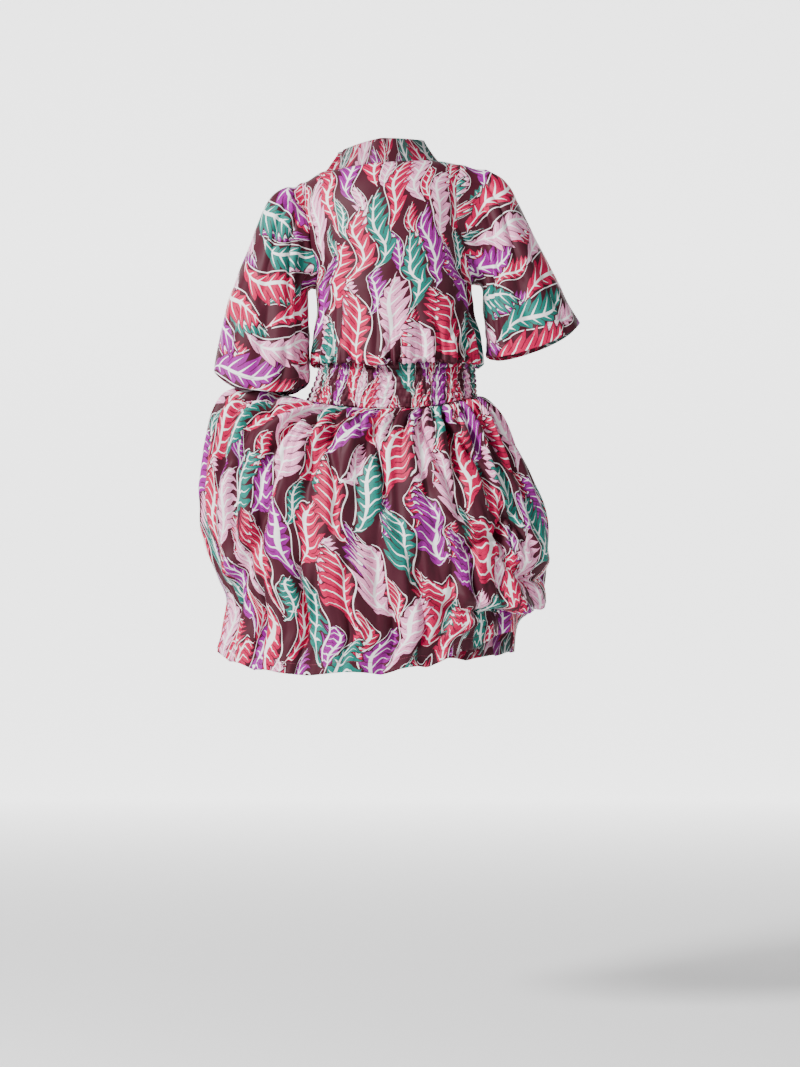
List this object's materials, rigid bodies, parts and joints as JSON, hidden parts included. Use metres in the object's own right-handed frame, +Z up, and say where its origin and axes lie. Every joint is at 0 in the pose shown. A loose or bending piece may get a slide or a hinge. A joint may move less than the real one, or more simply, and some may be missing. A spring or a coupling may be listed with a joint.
{
  "type": "balloon-skirt dress",
  "caption": "Worn knee-length dress with wide elbow sleeves, a V neck, a shirred waistband, pockets and a skirt that balloons at the sides.",
  "frame": {"origin": "middle of the shoulder line, between the front and the back, where the wearer's shoulders hold the dress", "axes": "+Z up, +Y out of the wearer's back, +X to the wearer's left"},
  "size_m": [0.6674, 0.3537, 0.9283],
  "materials": {
    "bodice": "crisp printed cotton",
    "collar": "crisp printed cotton",
    "sleeves": "crisp printed cotton",
    "waistband": "crisp printed cotton, shirred",
    "skirt": "crisp printed cotton",
    "pockets": "matt cotton, wrong side out"
  },
  "bodies": {
    "root": {"bodice_back": "bodice", "bodice_front": "bodice", "collar": "collar", "sleeve_left": "sleeves", "sleeve_right": "sleeves", "waistband_back": "waistband", "waistband_front": "waistband", "skirt_back": "skirt", "skirt_front": "skirt", "pocket_left": "pockets", "pocket_right": "pockets"}
  },
  "joints": []
}
